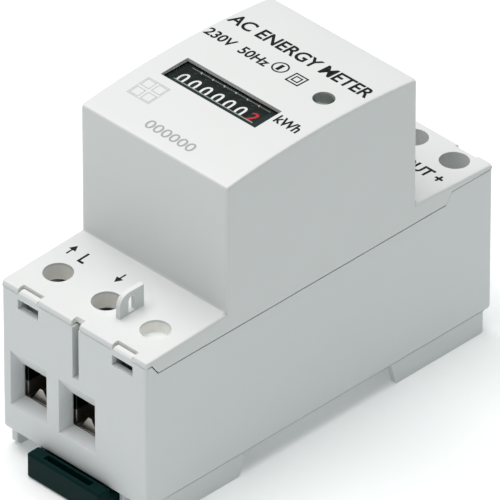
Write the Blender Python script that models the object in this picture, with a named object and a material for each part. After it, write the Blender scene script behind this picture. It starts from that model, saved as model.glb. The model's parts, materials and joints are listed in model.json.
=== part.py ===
"""Single-phase electricity meter, two modules wide, for a 35 mm top-hat rail.

The frame's origin is the middle of the face that sits on the rail: +X runs across the meter, +Y along
it from the line terminals to the far end, and +Z away from the rail. Sizes are in millimetres, and
new_object() turns them into Blender's metres.
"""
import math

import bmesh
import bpy
from mathutils import Vector

MM = 0.001

# Case
WIDTH = 35.0
HALF_WIDTH = WIDTH / 2
NEAR_Y = -41.25
FAR_Y = 41.95
WALL = 1.6
END_WALL = 3.0
GAP = 0.3
BASE_INSET = 0.15
SEAM_SIDE_Z = 27.2
SEAM_END_Z = 29.3
SEAM_STEP_NEAR = (1.4, 2.9)
SEAM_STEP_FAR = (10.1, 11.5)
LEDGE_EDGE_Z = 30.6
LEDGE_INNER_Z = 31.3
SKIRT_FOOT_Z = 26.0
SKIRT_THICK = 0.8
SEAM_BAND = (SEAM_SIDE_Z - 0.01, SEAM_END_Z + GAP + 0.01)
NOTCH_X = 0.45
NOTCH_DEPTH = 2.4
BLOCK_NEAR_Y = -22.2
BLOCK_FAR_Y = 23.2
BLOCK_EDGE_Z = 57.15
BLOCK_CROWN_Z = 58.6
CASE_ROUND = 0.7
ROUND_ABOVE = math.radians(30)
NOWHERE = (math.inf, -math.inf)

# Rail seat
RAIL_HALF = 17.7
SEAT_Y = (-15.0, 14.6)
SEAT_HALF = 16.0
FOOT_DEPTH = 4.45
FOOT_X = (15.8, 17.1)
FLANGE_ROOM = 1.4
HOOK_REACH = 2.0
GUIDE_X = (9.5, 10.5)

# Rail clip
CLIP_X = (-8.4, 9.15)
CLIP_Z = (-4.4, -0.8)
CLIP_GRIP_Z = 0.7
CLIP_Y = (-44.45, -15.7)
SPRING_Y = (-32.0, -24.4)
SPRING_RADIUS = 1.15
SPRING_WIRE = 0.25
SPRING_TURNS = 5

# Terminals: x and y of each screw
TERMINAL_PITCH = 35.0 / 3
LINE_Y = NEAR_Y + 7.9
NEUTRAL_Y = 34.65
PULSE_Y = 37.65
LINE_IN_X = -TERMINAL_PITCH
LINE_OUT_X = 0.0
NEUTRAL_X = -TERMINAL_PITCH
PULSE_XS = (2.5, 12.3)
BLIND_X = TERMINAL_PITCH
LATCH_XS = (-TERMINAL_PITCH + 0.7, TERMINAL_PITCH)
LATCH_HALF = 2.45
LATCH_WINDOW_Z = (26.3, 28.4)
LATCH_BAR_Z = 30.1
SCREW_HOLE = 2.67
COLLAR_RADIUS = 3.3
COLLAR_FOOT_Z = 25.0
TONGUE_Z = 13.8
TONGUE_THICK = 1.2
TONGUE_HALF = 2.6
PULSE_TONGUE_Z = 12.4
PULSE_TONGUE_THICK = 0.8
PULSE_TONGUE_HALF = 1.6
PULSE_BRIDGE_Z = 25.2
NEAR_BULKHEAD_Y = (-27.25, -26.05)
FAR_BULKHEAD_Y = (28.2, 29.4)
DECK_Z = (23.0, 24.0)
CLAMP_FLOOR_Z = 5.0
WINDOW_DEPTH = 2.6
OVERCUT = 0.5

# Register
WHEEL_COUNT = 7
WHEEL_PITCH = 2.74
FIRST_WHEEL_X = -11.5
WHEEL_AXIS = (-3.65, 48.9)
WHEEL_RADIUS = 7.4
WHEEL_HALF = 1.05
WHEEL_SHAFT_RADIUS = 1.0
PINION_CLEAR = 0.12
PINION_WIDTH = 0.4
PINION_TEETH = 8
HALF_TOOTH = math.pi / PINION_TEETH
GEAR_MODULE = 0.58
GEAR_TEETH = 20
GEAR_CENTRES = GEAR_MODULE * (GEAR_TEETH + PINION_TEETH) / 2
PINION_TILT = math.radians(-20)
PINION_AXIS = (WHEEL_AXIS[0] + GEAR_CENTRES * math.cos(PINION_TILT),
               WHEEL_AXIS[1] + GEAR_CENTRES * math.sin(PINION_TILT))
PINION_SHAFT_RADIUS = 0.4
DRIVE_MODULE = 0.4
DRIVE_TEETH = 24
IDLER_AXIS = (WHEEL_AXIS[0], WHEEL_AXIS[1] - DRIVE_MODULE * (DRIVE_TEETH + PINION_TEETH) / 2)
MOTOR_MODULE = 0.3
MOTOR_TEETH = 30
ROTOR_AXIS = (IDLER_AXIS[0] - MOTOR_MODULE * (MOTOR_TEETH + PINION_TEETH) / 2, IDLER_AXIS[1])
DRIVE_X = (7.0, 7.8)
MOTOR_X = (8.3, 9.1)
PLATE_X = ((-14.6, -13.8), (9.6, 10.4))
FRAME_Y = (-8.0, 5.4)
FRAME_FLOOR_Z = (36.0, 37.0)
FRAME_TOP_Z = 54.0
MASK_Z = (56.5, 56.85)
LENS_Z = (57.1, 57.45, 57.75)
OPENING_X = (-12.9, 9.5)
OPENING_Y = (NEAR_Y + 33.6, NEAR_Y + 40.0)
APERTURE_X = (-12.7, 6.7)
APERTURE_Y = (NEAR_Y + 35.95, NEAR_Y + 40.0)

# Board and light pipe
BOARD_Z = (31.5, 33.1)
BOARD_X = 15.2
BOARD_Y = (-19.9, 20.9)
POSTS = ((-13.2, -17.3), (13.2, -17.3), (-5.6, 18.2), (7.4, 18.2))
POST_RADIUS = 2.4
PIPE_AT = (11.65, 6.6)
PIPE_RADIUS = 1.65

MATERIALS = {
    "case": ((0.60, 0.64, 0.65), 0.45, 0.0),
    "cover": ((0.80, 0.82, 0.82), 0.42, 0.0),
    "clear": ((0.55, 0.60, 0.60), 0.05, 0.0),
    "smoke": ((0.09, 0.12, 0.11), 0.10, 0.0),
    "black": ((0.012, 0.022, 0.021), 0.40, 0.0),
    "red": ((0.45, 0.03, 0.03), 0.45, 0.0),
    "steel": ((0.62, 0.62, 0.63), 0.30, 1.0),
    "nickel": ((0.66, 0.61, 0.54), 0.32, 1.0),
    "copper": ((0.72, 0.40, 0.26), 0.35, 1.0),
    "manganin": ((0.55, 0.42, 0.36), 0.40, 1.0),
    "winding": ((0.50, 0.20, 0.08), 0.40, 0.2),
    "board": ((0.03, 0.16, 0.08), 0.50, 0.0),
    "blue": ((0.05, 0.12, 0.40), 0.45, 0.0),
    "yellow": ((0.62, 0.48, 0.10), 0.50, 0.0),
    "acetal": ((0.80, 0.80, 0.76), 0.45, 0.0),
}


# Scene and materials -----------------------------------------------------------------------------

def clear_scene():
    for item in list(bpy.data.objects):
        bpy.data.objects.remove(item, do_unlink=True)


def make_material(name):
    colour, roughness, metallic = MATERIALS[name]
    material = bpy.data.materials.new(name)
    material.use_nodes = True
    shader = material.node_tree.nodes["Principled BSDF"]
    shader.inputs["Base Color"].default_value = (*colour, 1.0)
    shader.inputs["Roughness"].default_value = roughness
    shader.inputs["Metallic"].default_value = metallic
    material.diffuse_color = (*colour, 1.0)
    return material


def material(name):
    return bpy.data.materials.get(name) or make_material(name)


# Shapes: each is a pair of corner points and faces -----------------------------------------------

AXIS_ORDER = {"X": (2, 0, 1), "Y": (0, 2, 1), "Z": (0, 1, 2)}


def prism(outline, low, high, axis):
    """A flat outline carried straight along an axis. It is (y, z), (x, z) or (x, y) points."""
    order = AXIS_ORDER[axis]
    points = [(a, b, end) for end in (low, high) for a, b in outline]
    corners = [tuple(point[i] for i in order) for point in points]
    count = len(outline)
    sides = [(i, (i + 1) % count, count + (i + 1) % count, count + i) for i in range(count)]
    return corners, [tuple(range(count)), tuple(range(count, 2 * count)), *sides]


def block(x, y, z):
    """A box between two values on each axis."""
    return prism([(x[0], y[0]), (x[1], y[0]), (x[1], y[1]), (x[0], y[1])], z[0], z[1], "Z")


def circle(centre, radius, sides, start=0.0):
    turn = 2 * math.pi / sides
    angles = [start + i * turn for i in range(sides)]
    return [(centre[0] + radius * math.cos(angle), centre[1] + radius * math.sin(angle)) for angle in angles]


def rod(centre, radius, low, high, axis, sides=20):
    return prism(circle(centre, radius, sides), low, high, axis)


def gear(centre, teeth, module, low, high, start=0.0):
    """Straight teeth as trapezoids, a module above and 1.1 modules below the pitch circle."""
    pitch = teeth * module / 2
    turn = 2 * math.pi / teeth
    levels = ((-0.30, pitch - 1.1 * module), (-0.12, pitch + 0.8 * module),
              (0.12, pitch + 0.8 * module), (0.30, pitch - 1.1 * module))
    outline = [(centre[0] + radius * math.cos(start + (tooth + part) * turn),
                centre[1] + radius * math.sin(start + (tooth + part) * turn))
               for tooth in range(teeth) for part, radius in levels]
    return prism(outline, low, high, "X")


def funnel(outer, inner, y_outer, y_inner):
    """A lead-in: a rectangle that narrows along Y. Each rectangle is (x low, x high, z low, z high)."""
    corners = [(x, y, z)
               for (left, right, low, high), y in ((outer, y_outer), (inner, y_inner))
               for x, z in ((left, low), (right, low), (right, high), (left, high))]
    sides = [(i, (i + 1) % 4, 4 + (i + 1) % 4, 4 + i) for i in range(4)]
    return corners, [(0, 1, 2, 3), (4, 5, 6, 7), *sides]


def strip(path, thickness, x):
    """A bent flat strip: a path of (y, z) points, given its thickness with mitred bends."""
    points = [Vector(point) for point in path]
    runs = [(after - before).normalized() for before, after in zip(points, points[1:])]
    sides = [Vector((-run.y, run.x)) for run in runs]
    offsets = [sides[0]]
    for before, after in zip(sides, sides[1:]):
        middle = (before + after).normalized()
        offsets.append(middle / middle.dot(after))
    offsets.append(sides[-1])
    half = thickness / 2
    left = [point + half * offset for point, offset in zip(points, offsets)]
    right = [point - half * offset for point, offset in zip(points, offsets)]
    return prism([tuple(point) for point in left + right[::-1]], x[0], x[1], "X")


def around(middle, half):
    return (middle - half, middle + half)


# Objects -----------------------------------------------------------------------------------------

def shapes_to_mesh(name, shapes, origin):
    bm = bmesh.new()
    for corners, faces in shapes:
        made = [bm.verts.new((Vector(corner) - Vector(origin)) * MM) for corner in corners]
        for face in faces:
            bm.faces.new([made[i] for i in face])
    bmesh.ops.recalc_face_normals(bm, faces=bm.faces)
    mesh = bpy.data.meshes.new(name)
    bm.to_mesh(mesh)
    bm.free()
    return mesh


def new_object(name, shapes, origin):
    item = bpy.data.objects.new(name, shapes_to_mesh(name, shapes, origin))
    item.location = Vector(origin) * MM
    item.parent = METER
    bpy.context.scene.collection.objects.link(item)
    return item


def combine(item, operation, shapes, origin):
    """Joins shapes to an object, or cuts them from it, as one Boolean modifier."""
    label = f"{item.name}_{operation.lower()}_{len(item.modifiers)}"
    tool = new_object(label, shapes, origin)
    tool.hide_render = True
    tool.display_type = "WIRE"
    modifier = item.modifiers.new(label, "BOOLEAN")
    modifier.operation = operation
    modifier.solver = "EXACT"
    modifier.use_self = True
    modifier.object = tool


def mark_rounding(mesh, crisp):
    """Gives a bevel weight to each sharp edge, except one that lies wholly between two heights."""
    bm = bmesh.new()
    bm.from_mesh(mesh)
    weight = bm.edges.layers.float.new("bevel_weight_edge")
    for edge in bm.edges:
        heights = [vertex.co.z / MM for vertex in edge.verts]
        stays_crisp = crisp[0] <= min(heights) and max(heights) <= crisp[1]
        edge[weight] = float(edge.calc_face_angle(0.0) > ROUND_ABOVE and not stays_crisp)
    bm.to_mesh(mesh)
    bm.free()


def build(name, finish, main, steps=(), origin=(0, 0, 0), bevel=0.0, segments=1, crisp=NOWHERE):
    """One sub-part: a main shape, rounded if asked, then joined and cut in steps."""
    item = new_object(name, [main], origin)
    item.data.materials.append(material(finish))
    if bevel:
        mark_rounding(item.data, crisp)
        rounding = item.modifiers.new("rounding", "BEVEL")
        rounding.width = bevel * MM
        rounding.segments = segments
        rounding.limit_method = "WEIGHT"
    for operation, shapes in steps:
        combine(item, operation, shapes, origin)
    item.data.shade_smooth()
    item.data.set_sharp_from_angle(angle=math.radians(35))
    return item


JOIN = "UNION"
CUT = "DIFFERENCE"


# Case --------------------------------------------------------------------------------------------

def seam_line(raised):
    """The line where base and cover meet, from the near end to the far end, as (y, z) points."""
    low, high = SEAM_SIDE_Z + raised, SEAM_END_Z + raised
    return [(NEAR_Y, high), (NEAR_Y + SEAM_STEP_NEAR[0], high), (NEAR_Y + SEAM_STEP_NEAR[1], low),
            (FAR_Y - SEAM_STEP_FAR[1], low), (FAR_Y - SEAM_STEP_FAR[0], high), (FAR_Y, high)]


def crown(inset, steps):
    """The counter block's arched top, from the far end to the near end, inset by a wall."""
    half = (BLOCK_FAR_Y - BLOCK_NEAR_Y) / 2
    middle = (BLOCK_FAR_Y + BLOCK_NEAR_Y) / 2
    rise = BLOCK_CROWN_Z - BLOCK_EDGE_Z
    radius = (half ** 2 + rise ** 2) / (2 * rise)
    points = []
    for step in range(steps + 1):
        across = (half - inset) * (1 - 2 * step / steps)
        height = BLOCK_CROWN_Z - radius + math.sqrt((radius - inset) ** 2 - across ** 2)
        points.append((middle + across, height))
    return points


def cable_window(x, end, inward):
    """A lead-in that narrows to the clamp, and the straight hole behind it."""
    mouth = (x - 3.7, x + 5.05, 5.5, 16.9)
    throat = (x - 3.18, x + 3.38, 6.2, 12.9)
    beyond = [outer + (outer - inner) * OVERCUT / WINDOW_DEPTH for outer, inner in zip(mouth, throat)]
    throat_y = end + inward * WINDOW_DEPTH
    through_y = end + inward * (END_WALL + OVERCUT)
    return [funnel(beyond, throat, end - inward * OVERCUT, throat_y),
            block(throat[:2], sorted((throat_y - inward * 0.2, through_y)), throat[2:])]


def base_feet(y_near, y_far):
    """The two pairs of feet, the clip's guides, the fixed rail hook and the spring's stop."""
    feet = []
    for side in (-1, 1):
        across = sorted((side * FOOT_X[0], side * FOOT_X[1]))
        near_foot = [(y_near + 1.85, 0.4), (y_near + 1.85, -3.6), (y_near + 2.7, -FOOT_DEPTH),
                     (-RAIL_HALF - 1.25, -FOOT_DEPTH), (-RAIL_HALF, 0.0), (-RAIL_HALF, 0.4)]
        far_foot = [(RAIL_HALF, 0.4), (RAIL_HALF, 0.0), (RAIL_HALF + 1.3, -FOOT_DEPTH),
                    (y_far - 2.1, -FOOT_DEPTH), (y_far - 1.8, -FOOT_DEPTH + 0.3), (y_far - 1.8, 0.4)]
        feet += [prism(near_foot, *across, "X"), prism(far_foot, *across, "X")]
        guide = sorted((side * GUIDE_X[0], side * GUIDE_X[1]))
        edge = CLIP_X[side > 0]
        lip = sorted((edge - side * 0.5, side * (GUIDE_X[0] + 0.2)))
        feet += [block(guide, (y_near + 1.3, -RAIL_HALF), (-4.2, 0.3)),
                 block(lip, (y_near + 6.0, -RAIL_HALF - 6.0), (-2.9, -2.3))]
    hook = [(RAIL_HALF, 0.3), (RAIL_HALF, -FLANGE_ROOM), (RAIL_HALF - HOOK_REACH, -FLANGE_ROOM - 0.3),
            (RAIL_HALF - HOOK_REACH, -3.4), (RAIL_HALF - 0.6, -4.4), (RAIL_HALF + 7.0, -4.4),
            (RAIL_HALF + 7.0, 0.3)]
    feet += [prism(hook, *CLIP_X, "X"),
             block((-2.2, 2.2), (SPRING_Y[0] - 1.5, SPRING_Y[0] - GAP), (-3.5, 0.3))]
    return feet


def latch_bars(y_near):
    """The bar over each near latch window, which fills the cover's notch up to the ledge."""
    front, back, foot, chamfer = y_near, y_near + 1.3, SEAM_END_Z - 0.5, 0.4
    outline = [(front, foot), (back, foot), (back, LATCH_BAR_Z), (front + chamfer, LATCH_BAR_Z),
               (front, LATCH_BAR_Z - chamfer)]
    return [prism(outline, *around(x, LATCH_HALF - GAP), "X") for x in LATCH_XS]


def base_rooms(inside, y_near, y_far):
    """Bulkheads, decks under the screws, dividers between the terminals, and the board's posts."""
    across = (-inside - 0.2, inside + 0.2)
    near_room = (y_near + END_WALL - 0.2, NEAR_BULKHEAD_Y[0] + 0.2)
    far_room = (FAR_BULKHEAD_Y[0] + 0.2, y_far - WALL + 0.2)
    foot = WALL - 0.2
    wall_top, divider_top, shelf_top = SKIRT_FOOT_Z - GAP, SKIRT_FOOT_Z - GAP, 22.0
    divider_half = 0.6
    divider_x = TERMINAL_PITCH / 2
    rooms = [block(across, NEAR_BULKHEAD_Y, (foot, wall_top)),
             block(across, FAR_BULKHEAD_Y, (foot, wall_top)),
             block((across[0], divider_x), near_room, DECK_Z),
             block((across[0], -divider_x), far_room, DECK_Z),
             block((across[0], -divider_x), (y_far - END_WALL, far_room[1]), (foot, shelf_top))]
    for x, room in ((-divider_x, near_room), (divider_x, near_room), (-divider_x, far_room),
                    (sum(PULSE_XS) / 2, far_room)):
        rooms.append(block(around(x, divider_half), room, (foot, divider_top)))
    return rooms + [rod(post, POST_RADIUS, foot, BOARD_Z[0] - GAP, "Z", 16) for post in POSTS]


def make_base():
    y_near, y_far = NEAR_Y, FAR_Y
    outline = [(y_near, 0.0), (y_far, 0.0), *reversed(seam_line(0.0))]
    half = HALF_WIDTH - BASE_INSET
    inside = half - WALL

    cuts = []
    for x in (LINE_IN_X, LINE_OUT_X):
        cuts += cable_window(x, y_near, 1)
        cuts.append(rod((x, LINE_Y), 2.5, DECK_Z[0] - 0.5, DECK_Z[1] + 0.5, "Z"))
        cuts.append(block(around(x, TONGUE_HALF + GAP), around(sum(NEAR_BULKHEAD_Y) / 2, 1.1),
                          around(TONGUE_Z, TONGUE_THICK / 2 + GAP)))
    cuts += cable_window(NEUTRAL_X, y_far, -1)
    cuts.append(rod((NEUTRAL_X, NEUTRAL_Y), 2.5, DECK_Z[0] - 0.5, DECK_Z[1] + 0.5, "Z"))
    cuts.append(block(around(NEUTRAL_X, TONGUE_HALF + GAP), around(sum(FAR_BULKHEAD_Y) / 2, 1.1),
                      around(TONGUE_Z, TONGUE_THICK / 2 + GAP)))
    for x in PULSE_XS:
        cuts.append(funnel((x - 2.95, x + 2.95, 7.4, 12.4), (x - 2.0, x + 2.0, 8.2, 11.6),
                           y_far + OVERCUT, y_far - WALL - OVERCUT))
        cuts.append(rod((x, PULSE_Y), COLLAR_RADIUS + GAP, COLLAR_FOOT_Z - GAP, SEAM_END_Z + 1, "Z"))
        cuts.append(block(around(x, PULSE_TONGUE_HALF + GAP), around(sum(FAR_BULKHEAD_Y) / 2, 1.1),
                          (PULSE_BRIDGE_Z - 0.9, PULSE_BRIDGE_Z + 1.3)))
    for x in LATCH_XS:
        cuts.append(block(around(x, LATCH_HALF), (y_near - 0.5, y_near + END_WALL + 0.5), LATCH_WINDOW_Z))
        cuts.append(block(around(x, 3.2), (y_near + 1.3, y_near + END_WALL + 0.5), (24.6, 32.0)))
        cuts.append(block(around(x, LATCH_HALF), (y_far - WALL - 0.5, y_far + 0.5), LATCH_WINDOW_Z))
    cuts.append(block(around(NOTCH_X, 0.73), (y_near - 0.5, y_near + NOTCH_DEPTH), (18.8, 32.0)))
    cuts += [rod(post, 1.4, 25.5, 32.0, "Z", 12) for post in POSTS[:2]]
    for end in SEAT_Y:
        cuts.append(block(around(0.0, SEAT_HALF + 0.5), around(end, 0.25), (-0.5, 0.35)))
    for side in (-1, 1):
        cuts.append(block(around(side * (SEAT_HALF + 0.25), 0.25), (SEAT_Y[0], SEAT_Y[1]), (-0.5, 0.35)))

    cavity = block((-inside, inside), (y_near + END_WALL, y_far - WALL), (WALL, 35.0))
    added = base_feet(y_near, y_far) + base_rooms(inside, y_near, y_far) + latch_bars(y_near)
    build("base_housing", "case", prism(outline, -half, half, "X"),
          [(CUT, [cavity]), (JOIN, added), (CUT, cuts)], bevel=CASE_ROUND, segments=2, crisp=SEAM_BAND)


def make_cover():
    y_near, y_far = NEAR_Y, FAR_Y
    outline = [*seam_line(GAP), (y_far, LEDGE_EDGE_Z - 0.2), (BLOCK_FAR_Y, LEDGE_INNER_Z), *crown(0.0, 12),
               (BLOCK_NEAR_Y, LEDGE_INNER_Z), (y_near, LEDGE_EDGE_Z)]
    inner = [(y_near + END_WALL, 20.0), (y_far - WALL, 20.0), (y_far - WALL, 28.9),
             (BLOCK_FAR_Y - WALL, 29.7), *crown(WALL, 12), (BLOCK_NEAR_Y + WALL, 29.7),
             (y_near + END_WALL, 29.3)]

    fin_foot = LEDGE_EDGE_Z - 0.6
    fin_top = 35.45
    fin_near, fin_far = y_near + 5.6, y_near + 11.35
    fin_round = 2.3
    corner = circle((fin_near + fin_round, fin_top - fin_round), fin_round, 24)[6:13]
    fin = [(fin_near, fin_foot), (fin_far, fin_foot), (fin_far, fin_top), *corner]
    slot = [(y_near + 9.2, 31.25), *circle((y_near + 8.45, 33.6), 0.75, 16)[:9], (y_near + 7.7, 31.25)]
    holes = [(LINE_IN_X, LINE_Y), (LINE_OUT_X, LINE_Y), (NEUTRAL_X, NEUTRAL_Y)]
    holes += [(x, PULSE_Y) for x in PULSE_XS]
    blind = (BLIND_X, LINE_Y)
    added = [prism(fin, 4.5, 5.5, "X")]
    skirt_out = HALF_WIDTH - BASE_INSET - WALL - GAP
    skirt_y = (y_near + END_WALL + GAP, y_far - SEAM_STEP_FAR[1] - GAP)
    for side in (-1, 1):
        reach = sorted((side * (skirt_out - SKIRT_THICK), side * (HALF_WIDTH - WALL + 0.2)))
        upright = sorted((side * (skirt_out - SKIRT_THICK), side * skirt_out))
        added += [block(reach, skirt_y, (SEAM_SIDE_Z + GAP, SEAM_SIDE_Z + 1.5)),
                  block(upright, skirt_y, (SKIRT_FOOT_Z, SEAM_SIDE_Z + 0.5))]
    for hole in [*holes, blind]:
        collar_foot = COLLAR_FOOT_Z if hole[1] == PULSE_Y else SEAM_SIDE_Z + GAP
        added.append(rod(hole, COLLAR_RADIUS, collar_foot, 30.2, "Z", 20))

    hole_foot, blind_floor, above = COLLAR_FOOT_Z - 0.5, 28.6, LEDGE_INNER_Z + 1.7
    cuts = [rod(hole, SCREW_HOLE, hole_foot, above, "Z", 24) for hole in holes]
    cuts.append(rod(blind, SCREW_HOLE, blind_floor, above, "Z", 24))
    cuts += [block(OPENING_X, OPENING_Y, (50.0, 60.0)),
             block((PLATE_X[0][0] - GAP, OPENING_X[1] + 1.6), (OPENING_Y[0] - 1.6, OPENING_Y[1] + 1.6),
                   (50.0, LENS_Z[1] + GAP)),
             rod(PIPE_AT, PIPE_RADIUS + GAP, 50.0, 60.0, "Z", 24),
             prism(slot, 4.0, 6.0, "X"),
             block(around(NOTCH_X, 0.95), (y_near - 0.5, y_near + 1.5), (27.0, 33.0))]
    cuts += [rod(post, POST_RADIUS + GAP - 0.05, 24.0, BOARD_Z[0], "Z", 16) for post in POSTS]
    for x in LATCH_XS:
        cuts.append(block(around(x, LATCH_HALF), (y_near - 0.5, y_near + 1.6), (27.0, 33.0)))
        cuts.append(block(around(x, LATCH_HALF), (y_far - 0.9, y_far + 0.5), (29.0, 33.0)))
    build("top_cover", "cover", prism(outline, -HALF_WIDTH, HALF_WIDTH, "X"),
          [(CUT, [prism(inner, -HALF_WIDTH + WALL, HALF_WIDTH - WALL, "X")]), (JOIN, added), (CUT, cuts)],
          bevel=CASE_ROUND, segments=2, crisp=SEAM_BAND)


def make_clip():
    back, tip = CLIP_Y
    low, high = CLIP_Z
    outline = [(back, low), (tip - 0.8, low), (tip, low + 0.9), (tip, -FLANGE_ROOM - GAP),
               (-RAIL_HALF - GAP, -FLANGE_ROOM - GAP + 0.2), (-RAIL_HALF - GAP, high),
               (NEAR_Y - GAP, high), (NEAR_Y - GAP, CLIP_GRIP_Z), (back, CLIP_GRIP_Z)]
    grooves = [block(sorted((edge - side * 0.9, edge + side)), (NEAR_Y + 2.0, tip + 1.0), (-3.2, -2.0))
               for side, edge in zip((-1, 1), CLIP_X)]
    pocket = block((-2.7, 2.7), (SPRING_Y[0] - 2.2, SPRING_Y[1] + GAP), (low + 0.6, 1.0))
    recess = block(around(sum(CLIP_X) / 2, 5.5), (back + 0.9, back + 2.1), (low + 2.0, CLIP_GRIP_Z + 1))
    build("rail_clip", "black", prism(outline, *CLIP_X, "X"),
          [(CUT, [*grooves, pocket, recess])], origin=(0.0, back, (low + high) / 2), bevel=0.4)


def make_spring():
    """A closed wire along a helix about Y, with flattened end turns."""
    steps = SPRING_TURNS * 10
    start, end = SPRING_Y[0] + SPRING_WIRE, SPRING_Y[1] - SPRING_WIRE
    curve = bpy.data.curves.new("clip_spring", "CURVE")
    curve.dimensions = "3D"
    curve.bevel_depth = SPRING_WIRE * MM
    curve.bevel_resolution = 0
    curve.use_fill_caps = True
    wire = curve.splines.new("POLY")
    wire.points.add(steps)
    for i, point in enumerate(wire.points):
        angle = 2 * math.pi * SPRING_TURNS * i / steps
        place = (SPRING_RADIUS * math.cos(angle), start + (end - start) * i / steps,
                 -2.2 + SPRING_RADIUS * math.sin(angle))
        point.co = (*(Vector(place) * MM), 1.0)
    item = bpy.data.objects.new("clip_spring", curve)
    item.data.materials.append(material("steel"))
    item.parent = METER
    bpy.context.scene.collection.objects.link(item)


# Terminals ---------------------------------------------------------------------------------------

def make_cage(name, at, half, length, z, hole, ridge_height):
    """A box clamp: a square tube open along Y, with a threaded top and a gabled ridge along its floor."""
    wall = 0.8
    floor, roof = z[0] + wall, z[1] - 2.6 * wall
    inside = block(around(at[0], half - wall), around(at[1], length), (floor, roof))
    slope, crest = 0.6 * half, 0.1 * half
    ridge = [(at[0] - slope, floor - 0.1), (at[0] + slope, floor - 0.1),
             (at[0] + crest, floor + ridge_height), (at[0] - crest, floor + ridge_height)]
    build(name, "nickel", block(around(at[0], half), around(at[1], length / 2), z),
          [(CUT, [inside]), (JOIN, [prism(ridge, *around(at[1], length / 2 - 0.15), "Y")]),
           (CUT, [rod(at, hole, roof - 1, z[1] + 1, "Z")])],
          origin=(at[0], at[1], z[0]))


def make_screw(name, at, radii, z, recess):
    """A cheese-head clamp screw: radii are shank and head, z is tip, underside and top of the head."""
    shank, head = radii
    tip, seat, top = z
    slots = [block(around(at[0], recess), around(at[1], head * 0.72), (top - 1.3, top + 1)),
             block(around(at[0], head * 0.72), around(at[1], recess), (top - 1.3, top + 1))]
    build(name, "steel", rod(at, head, seat, top, "Z", 24),
          [(JOIN, [rod(at, shank, tip, seat + 0.5, "Z", 16)]), (CUT, slots)], origin=(at[0], at[1], top))


def make_terminals():
    for name, x, y, length in (("line_in", LINE_IN_X, LINE_Y, 8.8), ("line_out", LINE_OUT_X, LINE_Y, 8.8),
                               ("neutral", NEUTRAL_X, NEUTRAL_Y, 7.4)):
        make_cage(f"{name}_clamp", (x, y), 3.75, length, (CLAMP_FLOOR_Z, 18.4), 2.5, 2.8)
        make_screw(f"{name}_screw", (x, y), (2.2, 2.5), (14.8, DECK_Z[1] + GAP, 26.7), 0.45)
    for number, x in enumerate(PULSE_XS, start=1):
        make_cage(f"pulse_clamp_{number}", (x, PULSE_Y), 2.8, 4.8, (6.6, 15.4), 1.6, 0.9)
        make_screw(f"pulse_screw_{number}", (x, PULSE_Y), (1.3, 2.3), (13.2, 24.3, 26.2), 0.35)


def make_conductors():
    shunt_y = (-25.4, -20.2)
    line_end = shunt_y[1]
    rise_y, board_y = 31.6, 14.2
    for name, x in (("busbar_in", LINE_IN_X), ("busbar_out", LINE_OUT_X)):
        build(name, "copper", strip([(LINE_Y - 3.4, TONGUE_Z), (line_end, TONGUE_Z)], TONGUE_THICK,
                                    around(x, TONGUE_HALF)))
    shunt_x = (LINE_IN_X + TONGUE_HALF + GAP, LINE_OUT_X - TONGUE_HALF - GAP)
    build("shunt", "manganin", block(shunt_x, shunt_y, around(TONGUE_Z, TONGUE_THICK / 2)))
    build("neutral_strap", "copper",
          strip([(NEUTRAL_Y + 3.4, TONGUE_Z), (12.0, TONGUE_Z), (12.0, BOARD_Z[0] - GAP)], TONGUE_THICK,
                around(NEUTRAL_X, TONGUE_HALF)))
    for number, x in enumerate(PULSE_XS, start=1):
        build(f"pulse_contact_{number}", "copper",
              strip([(PULSE_Y + 2.0, PULSE_TONGUE_Z), (rise_y, PULSE_TONGUE_Z), (rise_y, PULSE_BRIDGE_Z),
                     (board_y, PULSE_BRIDGE_Z), (board_y, BOARD_Z[0] - GAP)],
                    PULSE_TONGUE_THICK, around(x, PULSE_TONGUE_HALF)))
    for number, x in enumerate((-7.6, -4.0), start=1):
        make_wire(f"sense_wire_{number}", x, (sum(shunt_y) / 2, BOARD_Y[0] + 1.5),
                  (TONGUE_Z + TONGUE_THICK / 2 + GAP, BOARD_Z[0] - GAP))


def make_wire(name, x, y, z):
    """A thin lead that leaves the shunt upright and reaches the board upright, eased in between."""
    steps = 12
    curve = bpy.data.curves.new(name, "CURVE")
    curve.dimensions = "3D"
    curve.bevel_depth = 0.4 * MM
    curve.bevel_resolution = 1
    curve.use_fill_caps = True
    lead = curve.splines.new("POLY")
    lead.points.add(steps)
    for i, point in enumerate(lead.points):
        along = i / steps
        eased = along * along * (3 - 2 * along)
        place = (x, y[0] + (y[1] - y[0]) * eased, z[0] + (z[1] - z[0]) * along)
        point.co = (*(Vector(place) * MM), 1.0)
    item = bpy.data.objects.new(name, curve)
    item.data.materials.append(material("red"))
    item.parent = METER
    bpy.context.scene.collection.objects.link(item)


# Register ----------------------------------------------------------------------------------------

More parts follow.
